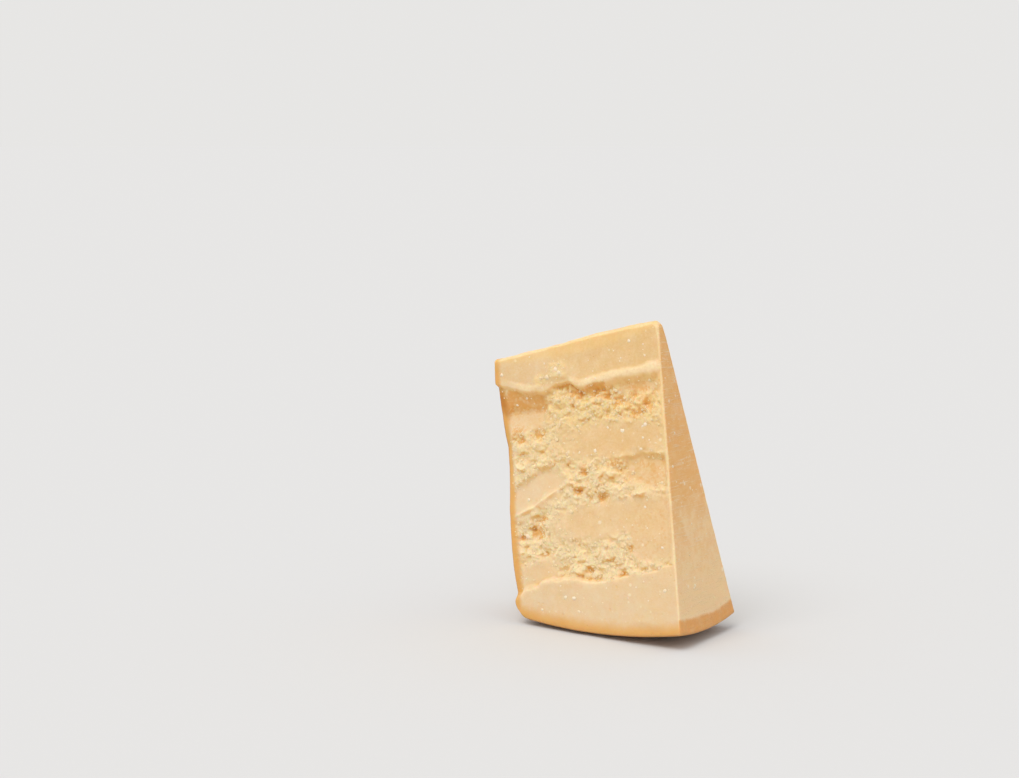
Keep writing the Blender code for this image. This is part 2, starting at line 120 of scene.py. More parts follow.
backBreak = {
    "seed": 13,
    "tipSlabEnd": [(0, 60), (30, 66), (62, 58), (90, 63), (116, 57)],
    "rindSlabStart": [(0, 170), (28, 176), (60, 171), (92, 178), (116, 181)],
    "lip": [(0, 1), (30, 1), (44, 0), (70, 0), (84, 0.6), (116, 0.8)],
    "lipHeight": 1.5,
    "lipWidth": 6,
    "ledge": [(0, 1.5), (60, 2.5), (116, 4)],
    "crumbLevel": [(0, -2), (60, -3), (116, -2.4)],
    "flatEdge": [(50, -1.2), (70, -2.6), (96, -4.2), (120, -3), (146, -1.6), (165, -2.2), (184, -1.5)],
    "facets": {
        "upper patch": (36, 93, 31, 12, 10, -2.6, 0.02, 0.05, 0.1),
        "right patch": (90, 106, 22, 15, -8, -3.4, -0.02, 0.04, 0.12),
        "lower patch": (44, 146, 34, 14, -6, -2, 0, -0.03, 0),
        "low right patch": (98, 154, 15, 10, 12, -2.6, 0, 0.03, 0.2),
    },
    "ridges": [
        (1.3, 2.4, [(0, 112), (24, 110), (48, 116), (66, 124)], (2, 64)),
        (1.2, 2.2, [(60, 92), (82, 84), (116, 88)], (62, 114)),
    ],
    "hollows": [(20, 74, 7, 2.4), (70, 80, 9, 2.6), (58, 112, 6, 2.8), (18, 122, 7, 2.4),
                (80, 130, 8, 2.8), (30, 166, 6, 2), (82, 168, 7, 2.4)],
    "hollowShade": 0.4,
    # painted shade where the torn paste lies darkest
    "shadePatches": [(44, 73, 14, 0.7), (96, 71, 10, 0.6), (26, 121, 9, 0.6), (66, 170, 10, 0.5),
               (100, 134, 8, 0.5)],
    "spots": [(74, 54, 7, 0.4), (24, 182, 6, 0.3)],
}
# Size and height in millimetres of the lumps and flakes of a crumbly band, and what is added to the seed
granuleLevels = [(10.0, 3.0, 5), (5.2, 2.2, 6), (2.8, 1.2, 7), (1.5, 0.35, 8)]
belowLevel = 0.55  # the share of that height that lies under the band's own level
cellCount = 64  # cells along a side of a random pattern, which then repeats
bendCell = 1.3  # size of the bends in the rows of cells, in cells
bendSeeds = (50, 51)
# The shapes of lumps and flakes, in cells and as shares of their height
lumpShape = {"bend": 0.4, "reach": 0.98, "fullness": 0.75, "lowest": 0.3}
flakeShape = {"bend": 0.35, "reach": 0.98, "lowest": 0.35, "tilt": 0.9, "steepness": 2.4}
facetSquareness = 2.8
# Height, size and seed of the wandering outlines and of the unevenness of what is smooth
raggedLevels = [(1.5, 9.0, 0), (0.9, 4.0, 1)]
raggedLumps = (1.8, 3.6, 6)
frayedLevels = [(0.2, 2.6, 60)]
slabLevels = [(0.30, 14.0, 30), (0.12, 5.0, 31)]
slabLumps = (0.3, 3.4, 32)
slabPlaces = (11.0, 33)
# Mean, change, size and seed of what comes and goes along a break
patches = {"ridge": (0.75, 0.5, 7.0, 20), "crest": (0.65, 0.35, 5.0, 40), "amber": (0.8, 0.3, 4.5, 41)}
# Where a form of a break begins and is full: millimetres inside its outline, but for hollows,
# shade patches and spots the distance from the middle in half widths
fades = {
    "facetLevel": (-3.8, 3.4),
    "facetSmooth": (-4.2, 4.6),
    "facetShade": (-3.0, 4.0),
    "hollow": (0.0, 1.3),
    "hollowShade": (0.1, 1.2),
    "shadePatch": (0.1, 1.2),
    "spot": (0.4, 1.2),
    "slabLumps": (-0.4, 0.6),  # values of the noise
    "flatEdge": (0.5, 9.0),  # from the flat face
    "cutRim": (0.6, 4.2),  # from the cut
    "shadePatchTop": (0.5, 2.5),  # from the end of the slab at the tip, as are the next two
    "lipHighlight": (-0.5, 3.0),
    "underLip": (2.0, 5.0),
    "backTip": (30.0, 90.0),  # radius
}
# How much of the ragged outline each form follows
rag = {"hollow": 0.16, "shadePatch": 0.18, "spot": 0.12, "ridge": 0.5, "tipSlab": 0.4, "rindSlab": 0.8}
# How much wider than high each form is
squash = {"hollow": 1.5, "shadePatch": 1.7, "spot": 1.3, "crumb": 1.15}
ridgeShape = {"end": 3.0, "sharpness": 1.6}
lipShape = {"rise": 3.0, "drop": 2.5, "extraDrop": 4.5, "shadeEnd": 16.0, "shadeFade": 6.0, "shade": 0.25}
# How much is left of a hollow on a smooth patch, of the crumbs on a spot, of the relief at the cut and
# of the back's relief at the tip
remains = {"hollow": 0.35, "spotCrumbs": 0.5, "atCut": 0.12, "backTip": 0.35}
spotRough = 0.8
flatSmooth = 0.8  # how much smoother a break is along the flat face


def smoothStep(value, low, high):
    share = np.clip((value - low) / (high - low), 0.0, 1.0)
    return share * share * (3.0 - 2.0 * share)


def faded(value, name):
    return smoothStep(value, *fades[name])


def valueNoise(across, radius, cell, seed):
    table = np.random.default_rng(seed).uniform(-1.0, 1.0, (cellCount, cellCount))
    column = np.floor(across / cell).astype(int)
    row = np.floor(radius / cell).astype(int)
    over = smoothStep(across / cell - column, 0.0, 1.0)
    down = smoothStep(radius / cell - row, 0.0, 1.0)
    corners = [[table[(column + i) % cellCount, (row + j) % cellCount] for j in (0, 1)] for i in (0, 1)]
    near = corners[0][0] * (1 - down) + corners[0][1] * down
    far = corners[1][0] * (1 - down) + corners[1][1] * down
    return near * (1 - over) + far * over


def noiseSum(levels, across, radius, seed):
    return sum(height * valueNoise(across, radius, cell, seed + start) for height, cell, start in levels)


def patchiness(name, across, radius, seed):
    mean, change, size, start = patches[name]
    return mean + change * valueNoise(across, radius, size, seed + start)


def bentRows(across, radius, size, seed, bend):
    # places measured in cells, whose rows are bent
    bent = []
    for value, start in zip((across, radius), bendSeeds):
        offset = bend * size * valueNoise(across, radius, bendCell * size, seed + start)
        bent.append((value + offset) / size)
    return bent


def nearCells(x, y, count, seed):
    # for the nine cells round each place: the way from the cell's middle, and the cell's random values
    cells = np.random.default_rng(seed).random((cellCount, cellCount, count))
    column = np.floor(x).astype(int)
    row = np.floor(y).astype(int)
    for i in (-1, 0, 1):
        for j in (-1, 0, 1):
            cell = cells[(column + i) % cellCount, (row + j) % cellCount]
            yield x - (column + i + cell[..., 0]), y - (row + j + cell[..., 1]), cell


def granules(across, radius, size, seed):
    x, y = bentRows(across, radius, size, seed, lumpShape["bend"])
    lowest = lumpShape["lowest"]
    top = np.zeros(x.shape)
    for offsetX, offsetY, cell in nearCells(x, y, 3, seed):
        distance = np.hypot(offsetX, offsetY)
        dome = np.maximum(1.0 - (distance / lumpShape["reach"]) ** 2, 0.0) ** lumpShape["fullness"]
        top = np.maximum(top, (lowest + (1.0 - lowest) * cell[..., 2]) * dome)
    return top


def flakes(across, radius, size, seed):
    # chips with tilted flat tops and steep sides, packed side by side
    x, y = bentRows(across, radius, size, seed, flakeShape["bend"])
    lowest = flakeShape["lowest"]
    tilt = flakeShape["tilt"]
    top = np.zeros(x.shape)
    for offsetX, offsetY, cell in nearCells(x, y, 6, seed):
        turn = math.pi * cell[..., 3]
        u = offsetX * np.cos(turn) + offsetY * np.sin(turn)
        v = offsetY * np.cos(turn) - offsetX * np.sin(turn)
        # the outline has six sides, and a seventh that cuts it short
        reach = np.maximum(np.maximum(np.abs(u), 0.5 * np.abs(u) + 0.87 * np.abs(v)), -1.15 * v)
        flat = lowest + (1.0 - lowest) * cell[..., 2]
        flat = flat + tilt * (cell[..., 4] - 0.5) * u + tilt * (cell[..., 5] - 0.5) * v
        top = np.maximum(top, np.minimum(flat, flakeShape["steepness"] * (flakeShape["reach"] - reach)))
    return top


def crumbHeight(across, radius, seed):
    height = np.zeros_like(across)
    for index, (size, rise, start) in enumerate(granuleLevels):
        shape = granules if index == 0 else flakes
        grown = shape(across, squash["crumb"] * radius, size, seed + start)
        height = height + rise * (grown - belowLevel)
    return height


def raggedness(across, radius, seed):
    height, size, start = raggedLumps
    lumps = granules(across, radius, size, seed + start) - 0.5
    return noiseSum(raggedLevels, across, radius, seed) + height * lumps


def facetShare(across, radius, centreA, centreR, halfA, halfR, turn, ragged):
    cosTurn = math.cos(math.radians(turn))
    sinTurn = math.sin(math.radians(turn))
    x = ((across - centreA) * cosTurn + (radius - centreR) * sinTurn) / halfA
    y = ((radius - centreR) * cosTurn - (across - centreA) * sinTurn) / halfR
    inside = 1.0 - (np.abs(x) ** facetSquareness + np.abs(y) ** facetSquareness) ** (1 / facetSquareness)
    return inside * halfR + ragged


def reachFrom(across, radius, centreA, centreR, halfWidth, kind, ragged):
    # the distance from a form's middle, in half widths
    away = np.hypot(across - centreA, squash[kind] * (radius - centreR))
    return away / halfWidth - rag[kind] * ragged


def along(across, line):
    return np.interp(across, *zip(*line))


def breakRelief(plan, across, radius):
    # the height of a break over its plane, how crumbly it is, and its painted shade and painted highlight
    seed = plan["seed"]
    ragged = raggedness(across, radius, seed)
    level = along(across, plan["crumbLevel"])
    rough = np.ones_like(across)
    shaded = np.zeros_like(across)
    for centreA, centreR, *shape, height, slopeA, slopeR, shade in plan["facets"].values():
        inside = facetShare(across, radius, centreA, centreR, *shape, ragged)
        plane = height + slopeA * (across - centreA) + slopeR * (radius - centreR)
        level = level + (plane - level) * faded(inside, "facetLevel")
        rough = rough * (1.0 - faded(inside, "facetSmooth"))
        shaded = shaded + (shade - shaded) * faded(inside, "facetShade")
    middle = level + rough * crumbHeight(across, radius, seed)
    for hollowA, hollowR, halfWidth, depth in plan["hollows"]:
        reach = reachFrom(across, radius, hollowA, hollowR, halfWidth, "hollow", ragged)
        torn = 1.0 - faded(reach - noiseSum(frayedLevels, across, radius, seed), "hollowShade")
        share = remains["hollow"] + (1.0 - remains["hollow"]) * rough
        inside = (1.0 - faded(reach, "hollow")) * share
        middle = middle - depth * inside
        shaded = np.maximum(shaded, plan["hollowShade"] * np.minimum(inside, torn))
    uneven = patchiness("ridge", across, radius, seed)
    fade = ridgeShape["end"]
    for height, width, line, (start, end) in plan["ridges"]:
        offset = (radius - along(across, line) + rag["ridge"] * ragged) / (width * uneven)
        begun = smoothStep(across, start - fade, start + fade)
        ends = begun * smoothStep(end + fade - across, 0.0, 2.0 * fade)
        middle = middle + height * uneven * ends * np.exp(-np.abs(offset) ** ridgeShape["sharpness"])
    atFlat = 1.0 - faded(across, "flatEdge")
    middle = middle + (along(radius, plan["flatEdge"]) - middle) * atFlat
    rough = rough * (1.0 - flatSmooth * atFlat)

    tipEdge = along(across, plan["tipSlabEnd"]) - rag["tipSlab"] * ragged
    rindEdge = along(across, plan["rindSlabStart"]) - rag["rindSlab"] * ragged
    lipTop = tipEdge - plan["lipWidth"]
    lipShare = along(across, plan["lip"])
    lip = plan["lipHeight"] * lipShare * smoothStep(radius, lipTop, lipTop + lipShape["rise"])
    drop = lipShape["drop"] + lipShape["extraDrop"] * lipShare
    inTipSlab = 1.0 - smoothStep(radius, tipEdge, tipEdge + drop)
    inRindSlab = smoothStep(radius, rindEdge - along(across, plan["ledge"]), rindEdge)
    between = (1.0 - inTipSlab) * (1.0 - inRindSlab)
    rough = rough * between
    relief = middle * between + lip * inTipSlab
    for spotA, spotR, halfWidth, height in plan["spots"]:
        reach = reachFrom(across, radius, spotA, spotR, halfWidth, "spot", ragged)
        onSpot = (1.0 - faded(reach, "spot")) * (1.0 - rough)
        relief = relief + onSpot * (height + remains["spotCrumbs"] * crumbHeight(across, radius, seed))
        rough = np.maximum(rough, spotRough * onSpot)
    size, start = slabPlaces
    bumpy = faded(valueNoise(across, radius, size, seed + start), "slabLumps")
    height, size, start = slabLumps
    lumps = height * bumpy * granules(across, radius, size, seed + start)
    relief = relief + (noiseSum(slabLevels, across, radius, seed) + lumps) * (1.0 - rough)
    # painted highlight along the top of the lip
    pale = lip / plan["lipHeight"] * (1.0 - faded(radius - tipEdge, "lipHighlight"))
    toShadeEnd = tipEdge + lipShape["shadeEnd"] - radius
    underLip = faded(radius - tipEdge, "underLip")
    underLip = underLip * smoothStep(toShadeEnd, 0.0, lipShape["shadeFade"])
    shaded = np.maximum(shaded, lipShape["shade"] * underLip * lipShare) * between
    # painted shade patches where the torn paste lies in shadow
    for shadePatchA, shadePatchR, halfWidth, strength in plan["shadePatches"]:
        reach = reachFrom(across, radius, shadePatchA, shadePatchR, halfWidth, "shadePatch", ragged)
        belowTip = faded(radius - tipEdge, "shadePatchTop")
        shaded = np.maximum(shaded, strength * (1.0 - faded(reach, "shadePatch")) * belowTip)
    return relief, rough, shaded, pale


# How the painted shade and highlights follow the heights: widths over which heights are compared, then
# limits in millimetres or, for "down", "steep" and "up", slopes
heightLooks = {
    "wide": 14.0, "close": 5.0, "slope": 1.6, "deep": (0.7, 2.6), "steep": (0.4, 1.2), "low": (0.1, 1.8),
    "lowNear": (0.1, 0.9), "high": (0.1, 1.2), "highNear": (0.0, 0.7), "down": (0.12, 0.75),
    "up": (-0.35, -0.02),
}


class BreakMap:
    # one broken side's relief and how crumbly it is, with its painted shade (hollow, amber) and painted
    # highlight (crest), over across and radius
    step = 0.4  # millimetres
    margin = 2.0
    firstRadius = 20.0

    def __init__(self, plan):
        across = np.arange(-self.margin, halfHeight + self.margin, self.step)
        radius = np.arange(self.firstRadius, wedge["wheelRadius"] + 2.0 * self.margin, self.step)
        grid = np.meshgrid(across, radius, indexing="ij")
        relief, rough, shaded, pale = breakRelief(plan, *grid)
        # the cut has a straight, narrow rim, so the relief dies out just before it
        fromCut = faded(halfHeight - grid[0], "cutRim")
        relief = relief * (remains["atCut"] + (1.0 - remains["atCut"]) * fromCut)
        looks = heightLooks
        around = self.averaged(relief, looks["wide"])
        near = self.averaged(relief, looks["close"])
        uneven, patchy = [patchiness(name, *grid, plan["seed"]) for name in ("crest", "amber")]
        self.relief = relief
        self.rough = rough
        slope = np.gradient(self.averaged(relief, looks["slope"]), self.step, axis=1)
        # painted warm shade where the torn paste lies deep or faces down, and where facets, hollows, the
        # lip and shade patches shade it
        torn = 0.8 * smoothStep(around - relief, *looks["deep"]) + 0.6 * smoothStep(-slope, *looks["steep"])
        self.amber = np.maximum(shaded * patchy, rough * torn)
        # painted shade where the relief lies lower than around it
        self.hollow = smoothStep(around - relief, *looks["low"])
        self.hollow = np.maximum(self.hollow, 0.75 * smoothStep(near - relief, *looks["lowNear"]))
        # painted highlight where the relief stands higher than around it
        self.crest = smoothStep(relief - around, *looks["high"]) * uneven
        self.crest = np.maximum(self.crest, rough * smoothStep(relief - near, *looks["highNear"]))
        # painted shade on what faces down, painted highlight on what faces up
        self.hollow = np.maximum(self.hollow, smoothStep(-slope, *looks["down"]))
        self.crest = self.crest * smoothStep(slope, *looks["up"]) * (1.0 - 0.55 * np.minimum(shaded, 1.0))
        # the lip's painted highlight
        self.crest = np.maximum(self.crest, 0.92 * pale)

    def averaged(self, values, width):
        # the mean over this many millimetres each way, with softened edges
        reach = round(width / self.step / 2)
        kernel = np.hanning(2 * reach + 3)[1:-1]
        kernel = kernel / kernel.sum()
        for axis in (0, 1):
            padding = [(reach, reach) if side == axis else (0, 0) for side in (0, 1)]
            padded = np.pad(values, padding, "edge")
            values = np.apply_along_axis(np.convolve, axis, padded, kernel, "valid")
        return values

    def at(self, values, across, radius):
        column = np.clip((across + self.margin) / self.step, 0.0, values.shape[0] - 1.001)
        row = np.clip((radius - self.firstRadius) / self.step, 0.0, values.shape[1] - 1.001)
        i = column.astype(int)
        j = row.astype(int)
        u = column - i
        v = row - j
        near = values[i, j] * (1 - v) + values[i, j + 1] * v
        far = values[i + 1, j] * (1 - v) + values[i + 1, j + 1] * v
        return near * (1 - u) + far * u


frontMap = BreakMap(frontBreak)
backMap = BreakMap(backBreak)
print("breaks worked out:", frontMap.relief.shape)


def roundedCorner(first, second, radius):
    # turns the square corner between two sides into a quarter circle, given the distances from both
    u = np.clip(1.0 - first / radius, 0.0, 1.0)
    v = np.clip(1.0 - second / radius, 0.0, 1.0)
    length = np.hypot(u, v)
    pull = np.where(length > 0, np.maximum(u, v) / np.where(length > 0, length, 1.0), 1.0)
    return first + radius * u * (1.0 - pull), second + radius * v * (1.0 - pull)


def wornEdges(cube, rindRadius):
    # rounds the edges round the two broken sides, more at the tip, and says how near an edge is, for a
    # painted highlight there
    down = 0.5 - cube[:, 2]
    length = rindRadius - wedge["tipRadius"]
    thickness = 2.0 * (wedge["tipRadius"] + down * length) * math.sin(halfAngle)
    atTip = 1.0 - smoothStep(down, 0.0, wedge["tipWearEnd"])
    worn = wedge["edgeWear"] + (wedge["tipWear"] - wedge["edgeWear"]) * atTip
    fromFlat = (cube[:, 0] + 0.5) * halfHeight
    fromCut = halfHeight - fromFlat
    fromTip = down * length
    fromRind = length - fromTip
    fromSide = (0.5 - np.abs(cube[:, 1])) * thickness
    around = (fromFlat, fromCut, fromTip, fromRind)
    nearest = np.minimum.reduce(around)
    outline = [roundedCorner(away, fromSide, worn)[0] for away in around]
    side = 0.5 - roundedCorner(nearest, fromSide, worn)[1] / thickness
    x = np.where(fromFlat < fromCut, outline[0], halfHeight - outline[1]) / halfHeight - 0.5
    z = 0.5 - np.where(fromTip < fromRind, outline[2], length - outline[3]) / length
    # a painted highlight along the worn edge, but not where it is rind
    closeness = np.clip(1.0 - np.stack([fromCut, fromTip, fromSide]) / worn, 0.0, 1.0)
    edge = smoothStep(np.sort(closeness, axis=0)[1], *wedge["edgeHighlightReach"])
    return np.stack([x, np.sign(cube[:, 1]) * side, z], axis=1), edge


def rindAt(across):
    return wedge["wheelRadius"] - wedge["bulge"] * (1.0 - across / halfHeight) ** 2


def tipAt(across, side):
    start, width, seed = wedge["tipNoise"]
    uneven = valueNoise(across, start + width * side, wedge["tipUnevenSize"], seed)
    return along(across, wedge["tip"]) + wedge["tipUneven"] * uneven


def wedgePoints(cube):
    # x of the cube runs across, y to the back, z to the tip; returns metres in the frame
    cube, edge = wornEdges(cube, rindAt((cube[:, 0] + 0.5) * halfHeight))
    across = (cube[:, 0] + 0.5) * halfHeight
    rindRadius = rindAt(across)
    tipRadius = tipAt(across, cube[:, 1])
    down = 0.5 - cube[:, 2]
    radius = tipRadius + down * (rindRadius - tipRadius)
    for atFlat, atRind, rounding in ((True, True, "rimRadius"), (False, True, "edgeWear"),
                                     (True, False, "tipWear"), (False, False, "tipCorner")):
        fromEnd = across if atFlat else halfHeight - across
        fromCurve = rindRadius - radius if atRind else radius - tipRadius
        fromEnd, fromCurve = roundedCorner(fromEnd, fromCurve, wedge[rounding])
        across = fromEnd if atFlat else halfHeight - fromEnd
        radius = rindRadius - fromCurve if atRind else tipRadius + fromCurve
    angle = cube[:, 1] * math.radians(wedge["angle"])
    points = np.stack([across - halfHeight, radius * np.sin(angle), -radius * np.cos(angle)], axis=1)

    frontNormal = np.array([0.0, -math.cos(halfAngle), math.sin(halfAngle)])
    backNormal = np.array([0.0, math.cos(halfAngle), math.sin(halfAngle)])
    toBack = cube[:, 1] + 0.5
    twist = wedge["twist"] * (2.0 * across / halfHeight - 1.0) * (2.0 * down - 1.0)
    front = frontMap.at(frontMap.relief, across, radius) + twist
    share = remains["backTip"] + (1.0 - remains["backTip"]) * faded(radius, "backTip")
    back = backMap.at(backMap.relief, across, radius) * share
    points = points + (front * (1.0 - toBack))[:, None] * frontNormal
    points = points + (back * toBack)[:, None] * backNormal

    onFront = smoothStep(toBack, wedge["painted"], 0.0)
    onBack = smoothStep(toBack, 1.0 - wedge["painted"], 1.0)
    looks = {"edge": edge}
    for name in ("rough", "hollow", "crest", "amber"):
        frontValue = frontMap.at(getattr(frontMap, name), across, radius)
        backValue = backMap.at(getattr(backMap, name), across, radius)
        looks[name] = frontValue * onFront + backValue * onBack
    return points @ lean.T / 1000.0 - np.array(wedgeOffset), looks


def griddedCube(step):
    width = 2.0 * wedge["wheelRadius"] * math.sin(halfAngle)
    sides = (halfHeight, width, wedge["wheelRadius"] - wedge["tipRadius"])
    cube = bmesh.new()
    bmesh.ops.create_cube(cube, size=1.0)
    for axis, side in enumerate(sides):
        edges = [e for e in cube.edges if abs(e.verts[0].co[axis] - e.verts[1].co[axis]) > 0.5]
        bmesh.ops.subdivide_edges(cube, edges=edges, cuts=round(side / step) - 1, use_grid_fill=True)
    return cube


def linked(name, data):
    piece = bpy.data.objects.new(name, data)
    bpy.context.scene.collection.objects.link(piece)
    return piece


def meshFromBmesh(name, bm):
    mesh = bpy.data.meshes.new(name)
    bm.to_mesh(mesh)
    bm.free()
    return linked(name, mesh)


def buildWedge():
    cube = griddedCube(wedge["grid"])
    piece = meshFromBmesh("cheese_body", cube)
    mesh = piece.data
    corners = np.empty(len(mesh.vertices) * 3)
    mesh.vertices.foreach_get("co", corners)
    points, looks = wedgePoints(corners.reshape(-1, 3))
    points[:, 2] = np.maximum(points[:, 2], 0.0)  # pressed flat where it stands
    mesh.vertices.foreach_set("co", points.ravel())
    for name, values in looks.items():
        mesh.attributes.new(name, "FLOAT", "POINT").data.foreach_set("value", values)
    mesh.update()
    full = 2 * len(mesh.polygons)
    if full > wedge["triangles"]:
        thin = piece.modifiers.new("thin", "DECIMATE")
        thin.ratio = wedge["triangles"] / full
        graph = bpy.context.evaluated_depsgraph_get()
        thinned = bpy.data.meshes.new_from_object(piece.evaluated_get(graph))
        piece.modifiers.clear()
        piece.data = thinned
    piece.data.shade_smooth()
    print("wedge:", len(piece.data.polygons), "faces from", full)
    return piece


# The paste's colours are linear RGB
paste = {
    "warmLightAtTip": (0.76, 0.50, 0.215),  # warmer near the tip: painted warm light
    "base": (0.79, 0.545, 0.275),
    "pale": (0.88, 0.69, 0.44),
    # painted shade in crevices and on what faces down
    "hollow": (0.86, 0.55, 0.21),
    "amber": (0.76, 0.355, 0.065),  # painted warm shade deep in the torn hollows and under the lip
    "paleSide": (0.81, 0.65, 0.445),  # paler near the flat face, and near the barrel side at the bottom, where it is painted light bounced from the floor
    "broken": (0.91, 0.72, 0.425),  # the crumbly bands
    # the crumbly bands near the tip, warmer: painted warm light
    "brokenWarmLightAtTip": (0.90, 0.67, 0.32),
    "crumb": (0.95, 0.80, 0.525),  # painted highlight on what stands out of a break
    # the cut face, deeper and warmer: partly the cut paste's own tone, partly painted shade and warm
    # reflected light
    "cut": (0.81, 0.41, 0.11),
    "cutLow": (0.88, 0.61, 0.32),  # the cut face's paler mottling, and the cut face lower down, paler as painted light bounced from the floor
    "speck": (0.93, 0.82, 0.63),
    "crystal": (0.93, 0.785, 0.60),
    "rind": (0.56, 0.285, 0.095),
    "rindPore": 0.62,  # how bright the rind's pores are beside it
    "rindInner": (0.74, 0.385, 0.08),  # the paste just inside the rind
    "rimShade": (0.55, 0.215, 0.03),  # and where a hollow or the lip shades it
    "cutRind": (0.78, 0.37, 0.10),  # the band along the barrel side on the cut face
    "tipRimLight": (0.93, 0.64, 0.235),  # the band along the tip, lighter and warmer: painted rim light
    "tipSlope": 0.229,  # how much nearer the barrel side it is per millimetre away from the cut
    "roughness": 0.5,
    "crumbRoughness": 0.65,
    "crystalRoughness": 0.45,
    "subsurface": 0.6,
    "subsurfaceReach": 0.0028,
    "subsurfaceColours": (1.0, 0.55, 0.25),
    "ior": 1.42,
}
# Patterns: scale, detail and roughness of the noise, then the values where they begin and are full
patterns = {
    "clouds": (38.0, 5.0, 0.6, 0.35, 0.7),
    "blotches": (150.0, 4.0, 0.6, 0.4, 0.75),
    "motes": (700.0, 3.0, 0.7, 0.35, 0.7),
    "grainy": (620.0, 4.0, 0.7, 0.35, 0.75),
    "pores": (260.0, 5.0, 0.65, 0.3, 0.7),
    "crumbMottle": (1300.0, 3.0, 0.6, 0.35, 0.65),
    "crystalTone": (300.0, 2.0, 0.5, 0.25, 0.6),
}
# Noises used as they are: scale, detail and roughness
noises = {
    "wander": (70.0, 4.0, 0.6),
    "grain": (1100.0, 4.0, 0.65),
    "waves": (170.0, 3.0, 0.5),
    "coarse": (900.0, 4.0, 0.7),
    "dents": (75.0, 3.0, 0.5),
    "bits": (1500.0, 3.0, 0.6),
}
# Specks: scale, the share of cells that have one, and its size
speckKinds = {"pits": (330.0, 0.18, 0.3), "fine": (420.0, 0.25, 0.32), "large": (190.0, 0.22, 0.26)}
speckEdge = (-0.04, 0.10)
# Grains of the broken paste, about a millimetre each
grainCells = {
    "scale": 680.0, "bendScale": 900.0, "bendDetail": 2.0, "bend": 0.0007, "dome": -0.9, "step": 0.5,
}
# Straight marks on the cut: direction in degrees and scale of each set, then what they share
scoring = {
    "sets": [(38.0, 1300.0), (-52.0, 900.0)],
    "stretch": 0.06,
    "noise": (3.0, 0.7),
    "limits": (0.55, 0.7),
}
# Where zones of the paste begin and are full, in millimetres from the barrel side unless noted
zones = {
    # paler towards the barrel side: painted light bounced from the floor
    "towardSide": (70.0, 12.0),
    "towardFlat": (60.0, 8.0),  # from the flat face
    # towards the tip the paste turns warmer, here and in the next line: painted warm light
    "warmLightAtTip": (60.0, 150.0),
    "brokenWarmLightAtTip": (80.0, 140.0),
    "onCut": (0.9, 0.2),  # from the cut
    # paler lower down the cut: painted light bounced from the floor
    "cutFloorBounce": (95.0, 5.0),
    "sideRind": (10.5, 1.5),
    "flatRind": (6.5, 2.5),  # from the flat face
    "tipRimLight": (180.7, 185.7),  # at the cut; painted rim light along the tip
    "cutBand": (10.4, 8.0),
    "paleLine": (1.0, 0.2),  # from the line's middle
    "underEdge": (3.2, 0.4),
    "crust": (1.6, 0.0),  # from the rind's outside
}
paleLineAt = 11.0
# How much of each colour there is where it is strongest
cover = {
    "motes": 0.24, "clouds": 0.28, "blotches": 0.22, "outer": 0.22, "cutMotes": 0.2, "cutBlotches": 0.4,
    "cut": 0.9, "scratches": 0.6, "hollow": 0.8, "amber": 0.8, "pits": 0.35, "fine": 0.6, "specks": 0.55,
    "rind": 0.85, "rimShade": 0.9, "tipRimLight": 0.35, "bandBlotches": 0.4, "bandMotes": 0.25,
    "paleLine": 0.3, "underEdge": 0.35, "crumbMottle": 0.4,
}
deepAmber = (-0.1, 0.55)
shadedRim = (0.0, 0.6)
# How strongly each noise and mark stands out
heights = {
    "grain": 0.22, "waves": 0.35, "coarse": 0.34, "pits": -0.3, "scratches": 0.2, "specks": 0.1,
    "dents": 0.7, "pores": 0.3,
}
# Strength and depth in metres
bumps = {"paste": (0.7, 0.001), "crumb": (0.5, 0.0005), "crystal": (0.3, 0.0003)}


class Nodes:
    # short hand for wiring one material's nodes
    def __init__(self, name):
        self.material = bpy.data.materials.new(name)
        self.material.use_nodes = True
        self.tree = self.material.node_tree
        self.shader = self.tree.nodes["Principled BSDF"]

    def add(self, kind, settings=None, **inputs):
        made = self.tree.nodes.new("ShaderNode" + kind)
        for key, value in (settings or {}).items():
            setattr(made, key, value)
        for key, value in inputs.items():
            index = int(key[1:]) if key[0] == "i" and key[1:].isdigit() else key
            self.plug(value, made.inputs[index])
        return made

    def plug(self, value, socket):
        if isinstance(value, bpy.types.NodeSocket):
            self.tree.links.new(value, socket)
        else:
            socket.default_value = value

    def finish(self, values):
        for name, value in values.items():
            self.plug(value, self.shader.inputs[name])

    def place(self):
        return self.add("TexCoord").outputs["Object"]

    def math(self, operation, a, b=0.0, c=0.0):
        return self.add("Math", {"operation": operation}, i0=a, i1=b, i2=c).outputs[0]

    def times(self, a, b):
        return self.math("MULTIPLY", a, b)

    def scaled(self, a, b, c):
        return self.math("MULTIPLY_ADD", a, b, c)

    def mix(self, share, a, b):
        return self.add("Mix", {"data_type": "RGBA"}, i0=share, i6=a, i7=b).outputs[2]

    def tint(self, share, colour, name):
        return self.mix(share, colour, rgba(paste[name]))

    def noise(self, vector, scale, detail=2.0, rough=0.5):
        made = self.add("TexNoise", None, Vector=vector, Scale=scale, Detail=detail, Roughness=rough)
        return made.outputs["Fac"]

    def pattern(self, vector, name):
        scale, detail, rough, low, high = patterns[name]
        return self.smooth(self.noise(vector, scale, detail, rough), low, high)

    def painted(self, name):
        return self.add("Attribute", {"attribute_name": name}).outputs["Fac"]

    def smooth(self, value, low, high):
        made = self.add("MapRange", {"interpolation_type": "SMOOTHSTEP"}, Value=value, i1=low, i2=high)
        return made.outputs["Result"]

    def zone(self, value, name):
        return self.smooth(value, *zones[name])

    def bump(self, height, strength, distance):
        made = self.add("Bump", None, Height=height, Strength=strength, Distance=distance)
        self.plug(made.outputs["Normal"], self.shader.inputs["Normal"])


def rgba(colour):
    return (*colour, 1.0)


